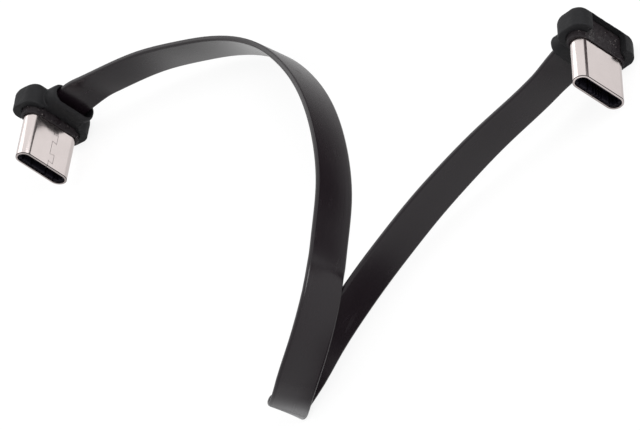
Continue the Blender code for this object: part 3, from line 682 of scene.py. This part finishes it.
def mark_ribbon(mesh, sizes, places, leans, distances, fold_place):
    """Marks each vertex with where along and across the ribbon it lies, and its painted fold highlight."""
    steps = np.gradient(places, axis=0)
    steps /= np.linalg.norm(steps, axis=1)[:, None]
    side = np.cross((0.0, 0.0, 1.0), steps)
    side /= np.linalg.norm(side, axis=1)[:, None]
    angle = np.radians(leans)[:, None]
    wide = np.cross(steps, side) * np.cos(angle) + side * np.sin(angle)
    thin = np.cross(wide, steps)
    verts = np.array([vertex.co for vertex in mesh.vertices])
    offsets = verts[:, None] - places[None]
    ahead, high, beside = (np.einsum("vpk,pk->vp", offsets, axis) for axis in (steps, wide, thin))

    # Each vertex belongs to the cross-section that it is level with and lies inside of
    outside = np.maximum(np.abs(high) - sizes.ribbon_width / 2, 0.0)
    outside += np.maximum(np.abs(beside) - sizes.ribbon_thickness / 2, 0.0)
    nearest = (np.abs(ahead) + 4 * outside).argmin(axis=1)
    ring = np.arange(len(verts))
    mark(mesh, "along", distances[nearest])
    mark(mesh, "across", high[ring, nearest] + beside[ring, nearest] * TEXTURE_ROUND_EDGE)
    # The painted highlight at the fold: strongest on the outside of the bend and fading away from its middle
    from_fold = np.abs(distances - fold_place)[nearest] / MM
    outer = np.clip(0.5 - beside[ring, nearest] / sizes.ribbon_thickness, 0.0, 1.0)
    mark(mesh, "fold_highlight", outer * np.exp(-from_fold / FOLD_HIGHLIGHT_REACH))


class FLATCABLE_OT_ribbon(bpy.types.Operator):
    """Make the flat ribbon with its rounded edges along its route"""

    bl_idname = "flatcable.ribbon"
    bl_label = "Ribbon"

    def execute(self, context):
        sizes = context.scene.cable_sizes
        places, leans, distances, fold_place = ribbon_line(sizes)
        mesh = ribbon_mesh(sizes, places, leans)
        mark_ribbon(mesh, sizes, places, leans, distances, fold_place)
        mesh.shade_smooth()
        material = jacket_material(context.scene.cable_finishes)
        ribbon = add_piece("flat_ribbon", mesh, Matrix.Identity(4), material, "flat_cable")
        return {"FINISHED"}


# The mouldings


# Two opposite corners of the soft moulding's body, of its collar and of the potted core, and how far the
# edges along their sides, at the back, at the front and at the collar's end are rounded
BODY_LOW, BODY_HIGH = (-2.65, -10.85, -5.5), (2.30, -7.30, 5.5)
BODY_SIDES, BODY_BACK, BODY_FRONT = 1.77, 1.35, 0.15
COLLAR_LOW, COLLAR_HIGH = (0.0, -10.60, -3.55), (4.60, -7.55, 3.55)
COLLAR_SIDES, COLLAR_END = 1.40, 0.60
CORE_LOW, CORE_HIGH = (-1.50, -10.25, -4.60), (1.50, -6.40, 4.60)
CORE_SIDES, CORE_FRONT = 1.49, 0.08

# What is cut out of the soft moulding and out of the core: two opposite corners, the axis that the rounded
# edges run along, and their radius
MOULDING_CUTS = {
    "room_for_core": ((-1.53, -10.28, -4.63), (1.53, -6.0, 4.63), 1, 1.50),
    "window": ((-4.0, -10.20, -3.05), (-1.40, -6.5, 3.05), 0, 0.35),
    "notch_by_collar": ((1.40, -7.55, -3.05), (6.0, -6.5, 3.05), 0, 0.10),
    "hollow_of_collar": ((2.60, -10.22, -3.17), (6.0, -7.93, 3.17), 0, 1.14),
    "ribbon_slot": ((1.40, -9.49, -2.83), (6.0, -8.66, 2.83), 0, 0.40),
}
CORE_CUTS = {
    "room_for_shell": ((-1.31, -7.78, -4.20), (1.31, -6.0, 4.20), 1, 1.30, 12),
    "room_for_card": ((-1.05, -9.95, -3.70), (1.05, -7.0, 3.70)),
    "ribbon_slot": ((0.0, -9.465, -2.80), (3.0, -8.685, 2.80), 0, 0.20),
}

# The sizes of the cells that the core is built from, of its lumps and of the moulding's waves. The lumps
# grow from their least share of the height at the start to all of it at the end of the stretch
CORE_GRAIN = 0.07
LUMP_SIZE, WAVE_SIZE = 0.55, 1.1
LUMPS_START, LUMPS_STRETCH, LUMPS_LEAST = -6.5, 0.5, 0.25


def rounded_block(low, high, axis=0, radius=0.0, segments=8):
    """A box whose edges along one axis are rounded."""
    bm = block(low, high)
    if radius:
        round_off(bm, along(axis), radius, segments)
    return bm


def body_block():
    bm = rounded_block(BODY_LOW, BODY_HIGH, 1, BODY_SIDES, 10)
    round_off(bm, at(1, BODY_LOW[1]), BODY_BACK, 8)
    round_off(bm, at(1, BODY_HIGH[1]), BODY_FRONT, 3)
    return bm


def collar_block():
    bm = rounded_block(COLLAR_LOW, COLLAR_HIGH, 0, COLLAR_SIDES, 10)
    round_off(bm, at(0, COLLAR_HIGH[0]), COLLAR_END, 5)
    return bm


def core_block():
    bm = rounded_block(CORE_LOW, CORE_HIGH, 1, CORE_SIDES, 12)
    round_off(bm, at(1, CORE_HIGH[1]), CORE_FRONT, 2)
    return bm


def core_lumps(point):
    """The share of the lumps' height at a point of the core: small at its front and full behind it."""
    behind = min(1.0, max(0.0, (LUMPS_START - point.y) / LUMPS_STRETCH))
    return LUMPS_LEAST + (1.0 - LUMPS_LEAST) * behind


class FLATCABLE_OT_mouldings(bpy.types.Operator):
    """Make the soft moulding of each plug, with its collar, windows and rounded edges"""

    bl_idname = "flatcable.mouldings"
    bl_label = "Soft mouldings"

    def execute(self, context):
        sizes = context.scene.cable_sizes
        material = moulding_material(context.scene.cable_finishes)
        for seed, plug in enumerate(PLUGS):
            body = working_object(plug + "_moulding_work", body_block())
            tools = [combine(body, collar_block(), "UNION")]
            tools += [combine(body, rounded_block(*cut), "DIFFERENCE") for cut in MOULDING_CUTS.values()]
            mesh = soften(body, tools, sizes.moulding_grain / MM, sizes.softening)
            wander(mesh, WAVE_SIZE, sizes.moulding_waves / MM, seed + 1)
            mesh.shade_smooth()
            add_piece(
                plug + "_moulding", mesh, plug_frame(plug), material, plug + "_overmould",
            )
        return {"FINISHED"}


class FLATCABLE_OT_cores(bpy.types.Operator):
    """Make the potted core behind each shell, which shows round the shell and in the windows"""

    bl_idname = "flatcable.cores"
    bl_label = "Potted cores"

    def execute(self, context):
        sizes = context.scene.cable_sizes
        material = potting_material(context.scene.cable_finishes)
        for seed, plug in enumerate(PLUGS):
            core = working_object(plug + "_core_work", core_block())
            tools = [combine(core, rounded_block(*cut), "DIFFERENCE") for cut in CORE_CUTS.values()]
            mesh = soften(core, tools, CORE_GRAIN, 2)
            wander(mesh, LUMP_SIZE, sizes.potting_lumps / MM, seed + 7, only=core_lumps)
            mesh.shade_smooth()
            add_piece(
                plug + "_core", mesh, plug_frame(plug), material, plug + "_inner_mould",
            )
        return {"FINISHED"}


# The shells


SHELL_HALF_X, SHELL_HALF_Z, SHELL_BACK = 1.28, 4.17, -7.75

# The seam: how long it shows, how far behind the mouth its two tabs are, for each tab the half width of its
# neck, how much wider its head is on each side and how far it reaches over, and how far the wall that cuts
# the seam goes into the shell's face and out of it
SEAM_LENGTH = 6.40
SEAM_TABS = (0.22 * SEAM_LENGTH, 0.71 * SEAM_LENGTH)
SEAM_NECK, SEAM_UNDERCUT, SEAM_REACH = 0.085 * SEAM_LENGTH, 0.15, 0.75
SEAM_CUT = 0.4

# How far a cutting shape reaches past what it cuts
OVERSHOOT = 1.0

# The rolled lip at the mouth: how far it reaches inwards and back, and how far its outer edge is rounded
LIP_WALL, LIP_LENGTH, LIP_ROUNDING = 0.27, 0.26, 0.115


def stadium(half_x, half_z, back, front):
    """A prism with two round ends, along the shell from back to front."""
    bm = block((-half_x, back, -half_z), (half_x, front, half_z))
    # The roundings stop just short of meeting
    round_off(bm, along(1), half_x - 0.001, 20)
    return bm


def seam_tool(gap):
    """A thin wall that follows the seam: a line along the shell with two dovetail tabs."""
    path = [(OVERSHOOT, 0.0)]
    for middle in SEAM_TABS:
        path.append((-(middle - SEAM_NECK), 0.0))
        path.append((-(middle - SEAM_NECK - SEAM_UNDERCUT), SEAM_REACH))
        path.append((-(middle + SEAM_NECK + SEAM_UNDERCUT), SEAM_REACH))
        path.append((-(middle + SEAM_NECK), 0.0))
    path.append((SHELL_BACK - OVERSHOOT, 0.0))
    bm = bmesh.new()
    verts = [bm.verts.new((SHELL_HALF_X - SEAM_CUT, y, z)) for y, z in path]
    edges = [bm.edges.new(pair) for pair in zip(verts, verts[1:])]
    made = bmesh.ops.extrude_edge_only(bm, edges=edges)["geom"]
    raised = [item for item in made if isinstance(item, bmesh.types.BMVert)]
    bmesh.ops.translate(bm, verts=raised, vec=(2 * SEAM_CUT, 0.0, 0.0))
    bmesh.ops.recalc_face_normals(bm, faces=bm.faces)
    wall = working_object("seam_wall", bm)
    solidify = wall.modifiers.new("Solidify", "SOLIDIFY")
    solidify.thickness = gap
    solidify.offset = 0.0
    mesh = settle(wall)
    discard(wall)
    bm = bmesh.new()
    bm.from_mesh(mesh)
    bpy.data.meshes.remove(mesh)
    return bm


class FLATCABLE_OT_shells(bpy.types.Operator):
    """Make the rolled steel shell of each plug, with its rounded mouth and its interlocked seam"""

    bl_idname = "flatcable.shells"
    bl_label = "Steel shells"

    def execute(self, context):
        sizes = context.scene.cable_sizes
        material = nickel_material(context.scene.cable_finishes)
        for plug in PLUGS:
            outside = stadium(SHELL_HALF_X, SHELL_HALF_Z, SHELL_BACK, 0.0)
            round_off(outside, at(1, 0.0), LIP_ROUNDING, 3)
            tube = working_object(plug + "_shell_work", outside)
            wall = sizes.shell_wall / MM
            tools = [
                combine(tube, shape, "DIFFERENCE") for shape in (
                    stadium(SHELL_HALF_X - wall, SHELL_HALF_Z - wall, SHELL_BACK - OVERSHOOT, -LIP_LENGTH),
                    stadium(SHELL_HALF_X - LIP_WALL, SHELL_HALF_Z - LIP_WALL, -OVERSHOOT, OVERSHOOT),
                    seam_tool(sizes.seam_gap / MM),
                )
            ]
            mesh = settle(tube)
            discard(tube, *tools)
            verts = np.array([vertex.co for vertex in mesh.vertices])
            lateral = verts[:, 2] + np.sign(verts[:, 2]) * np.abs(verts[:, 0]) * 0.5
            mark(mesh, "across", lateral * MM)
            mark(mesh, "depth", verts[:, 1] * MM)
            mesh.shade_smooth()
            mesh.set_sharp_from_angle(angle=math.radians(35))
            add_piece(plug + "_steel", mesh, plug_frame(plug), material, plug + "_shell")
        return {"FINISHED"}


class FLATCABLE_OT_small_parts(bpy.types.Operator):
    """Give the insulators, springs, contacts, cards and wires their finishes"""

    bl_idname = "flatcable.small_parts"
    bl_label = "Small parts"

    def execute(self, context):
        finishes = {
            "insulator": plain_material("black_insulator", (0.012, 0.011, 0.017), 0.55, index=1.2),
            "latch": plain_material("latch_steel", (0.62, 0.60, 0.57), 0.28, 1.0, change=0.12),
            "earth_spring": plain_material("spring_steel", (0.64, 0.61, 0.58), 0.26, 1.0, change=0.12),
            "contact": plain_material("contact_gold", (0.83, 0.58, 0.24), 0.22, 1.0, change=0.10),
            "card": plain_material("card_mask", (0.012, 0.055, 0.022), 0.42),
            "wire_1": plain_material("wire_red", (0.42, 0.016, 0.014), 0.45),
            "wire_2": plain_material("wire_white", (0.74, 0.73, 0.70), 0.45),
            "wire_3": plain_material("wire_green", (0.02, 0.22, 0.05), 0.45),
            "wire_4": plain_material("wire_blue", (0.02, 0.05, 0.33), 0.45),
            "wire_5": plain_material("wire_black", (0.018, 0.018, 0.018), 0.45),
        }
        for name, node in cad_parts.items():
            for part, material in finishes.items():
                if part in name:
                    node.data.materials.clear()
                    node.data.materials.append(material)
                    break
        return {"FINISHED"}


# The stage


def floor_material(colour):
    """White paper that keeps the shadow: the camera sees a fifth of its shading, and an even glow for the
    rest. Reflections pass it and see the room's own graded light."""
    material, finish = new_finish("floor_paper")
    fibre = finish.noise(finish.place(), 0.6 * MM, 3.0, 0.6)
    paper = finish.add("ShaderNodeBsdfPrincipled", None, {
        "Base Color": (*colour, 1.0), "Roughness": 0.85, "Normal": finish.bump(fibre, 0.02 * MM, 0.4),
    })
    glow = finish.add("ShaderNodeEmission", None, {"Color": (1.0, 1.0, 1.0, 1.0), "Strength": 1.07})
    path = "ShaderNodeLightPath"
    shader = finish.add("ShaderNodeMixShader", None, {
        0: finish.add(path, output="Is Camera Ray") * 0.80, 1: paper, 2: glow,
    })
    clear = finish.add("ShaderNodeBsdfTransparent", None, {"Color": (1.0, 1.0, 1.0, 1.0)})
    shader = finish.add("ShaderNodeMixShader", None, {
        0: finish.add(path, output="Is Glossy Ray"), 1: shader, 2: clear,
    })
    finish.surface(shader)
    return material


# The shaded and bright parts of the table that reflections see: a direction, how near to it a ray is at the
# shade's rim and at its full depth, as cosines, and how much light is left there
SHADES = (
    ((0.321, -0.657, -0.682), 0.925, 0.965, 0.0),
    ((-0.780, -0.250, -0.574), 0.88, 0.98, 0.45),
    ((-0.707, 0.465, -0.533), 0.80, 0.97, 2.3),
)

# The dark part beyond the table's far edge, at the back right: the planes that bound it, each as a direction
# and the reach along it at which the dark starts and is full, and how much light is left there
FAR_EDGE = (
    ((-0.309, 0.951, 0.0), -0.03, 0.12),
    ((-0.090, 0.0, 1.0), -0.53, -0.46),
    ((0.819, 0.574, 0.0), -0.22, 0.92),
)
FAR_LIGHT = 0.02


def build_world(world):
    """Even light, white behind the object, and for reflections a pale sky with a dark band at the horizon
    over a white table that is darker towards the back right."""
    world.use_nodes = True
    finish = Finish(world.node_tree)
    direction = finish.add("ShaderNodeTexCoord", output="Generated")
    sideways, front, height = (
        finish.add("ShaderNodeSeparateXYZ", None, {"Vector": direction}, output=axis) for axis in "XYZ"
    )
    band = finish.remap(height, -0.01, 0.12)
    room = finish.remap(front, -0.75, 0.25, 0.70, 1.0)
    table = finish.remap(height, -0.01, -0.06) * finish.remap(height, -0.45, -0.70, 1.0, 0.74)
    for (x, y, z), start, full, left in SHADES:
        table = table * finish.remap(sideways * x + front * y + height * z, start, full, 1.0, left)
    beyond = 1.0
    for (x, y, z), start, full in FAR_EDGE:
        beyond = finish.remap(sideways * x + front * y + height * z, start, full) * beyond
    table = table * (1.0 - beyond * (1.0 - FAR_LIGHT))
    graded = finish.blend(band * room + table, (0.055, 0.045, 0.048), (0.95, 0.95, 0.95))
    sky = finish.add("ShaderNodeBackground", None, {"Color": graded, "Strength": 1.0})
    even = finish.add("ShaderNodeBackground", None, {"Color": (1.0, 1.0, 1.0, 1.0), "Strength": 0.66})
    white = finish.add("ShaderNodeBackground", None, {"Color": (1.0, 1.0, 1.0, 1.0), "Strength": 1.0})
    path = "ShaderNodeLightPath"
    mirrored = finish.add(path, output="Is Glossy Ray") + finish.add(path, output="Is Transmission Ray")
    lit = finish.add("ShaderNodeMixShader", None, {0: mirrored, 1: even, 2: sky})
    direct = finish.add(path, output="Is Camera Ray")
    seen = finish.add("ShaderNodeMixShader", None, {0: direct, 1: lit, 2: white})
    finish.add("ShaderNodeOutputWorld", None, {"Surface": seen})


def add_light(name, place, size, power):
    """A square soft light that faces the middle of the floor."""
    light = bpy.data.lights.new(name, "AREA")
    light.shape = "SQUARE"
    light.size = size
    light.energy = power
    obj = bpy.data.objects.new(name, light)
    obj.location = place
    obj.rotation_euler = (-Vector(place)).to_track_quat("-Z", "Y").to_euler()
    bpy.context.scene.collection.objects.link(obj)


class FLATCABLE_OT_stage(bpy.types.Operator):
    """Lay the white floor, set the soft lights and place the camera"""

    bl_idname = "flatcable.stage"
    bl_label = "Stage"

    def execute(self, context):
        scene = context.scene
        settings = scene.cable_stage
        scene.view_settings.view_transform = "Standard"

        camera = bpy.data.cameras.new("photo_camera")
        camera.sensor_width = CAMERA_SENSOR
        camera.lens = CAMERA_LENS
        camera.shift_x, camera.shift_y = CAMERA_SHIFT
        camera.clip_start = 0.05
        camera.clip_end = 20.0
        viewer = bpy.data.objects.new("photo_camera", camera)
        axes = Matrix((CAMERA_RIGHT, CAMERA_UP, CAMERA_BACK)).transposed().to_4x4()
        viewer.matrix_world = Matrix.Translation(CAMERA_PLACE) @ axes
        scene.collection.objects.link(viewer)
        scene.camera = viewer

        bm = bmesh.new()
        bmesh.ops.create_grid(bm, x_segments=8, y_segments=8, size=settings.floor_size / 2)
        mesh = bpy.data.meshes.new("floor")
        bm.to_mesh(mesh)
        bm.free()
        mesh.materials.append(floor_material(tuple(settings.floor_colour)))
        floor = bpy.data.objects.new("floor", mesh)
        scene.collection.objects.link(floor)

        world = bpy.data.worlds.new("soft_room")
        scene.world = world
        build_world(world)
        add_light("key_light", place=(-0.45, 0.35, 1.0), size=0.9, power=settings.key_power)
        add_light("fill_light", place=(0.9, -0.35, 0.5), size=0.7, power=settings.fill_power)
        return {"FINISHED"}


class FLATCABLE_PT_panel(bpy.types.Panel):
    """Lists the steps that dress the cable and the settings that they read"""

    bl_label = "Flat cable"
    bl_idname = "FLATCABLE_PT_panel"
    bl_space_type = "VIEW_3D"
    bl_region_type = "UI"
    bl_category = "Flat cable"

    def draw(self, context):
        for step in STEPS:
            self.layout.operator(step.bl_idname)
        for group in (context.scene.cable_sizes, context.scene.cable_finishes, context.scene.cable_stage):
            box = self.layout.box()
            for name in group.__annotations__:
                box.prop(group, name)


STEPS = (
    FLATCABLE_OT_stage,
    FLATCABLE_OT_ribbon,
    FLATCABLE_OT_mouldings,
    FLATCABLE_OT_cores,
    FLATCABLE_OT_shells,
    FLATCABLE_OT_small_parts,
)
GROUPS = {"cable_sizes": CableSizes, "cable_finishes": CableFinishes, "cable_stage": StageSettings}


def register():
    for name, group in GROUPS.items():
        bpy.utils.register_class(group)
        setattr(bpy.types.Scene, name, PointerProperty(type=group))
    for step in STEPS:
        bpy.utils.register_class(step)
    bpy.utils.register_class(FLATCABLE_PT_panel)


def unregister():
    bpy.utils.unregister_class(FLATCABLE_PT_panel)
    for step in reversed(STEPS):
        bpy.utils.unregister_class(step)
    for name, group in GROUPS.items():
        delattr(bpy.types.Scene, name)
        bpy.utils.unregister_class(group)


def main():
    register()
    bpy.ops.flatcable.stage()
    bpy.ops.flatcable.ribbon()
    bpy.ops.flatcable.mouldings()
    bpy.ops.flatcable.cores()
    bpy.ops.flatcable.shells()
    bpy.ops.flatcable.small_parts()


if __name__ == "__main__":
    main()
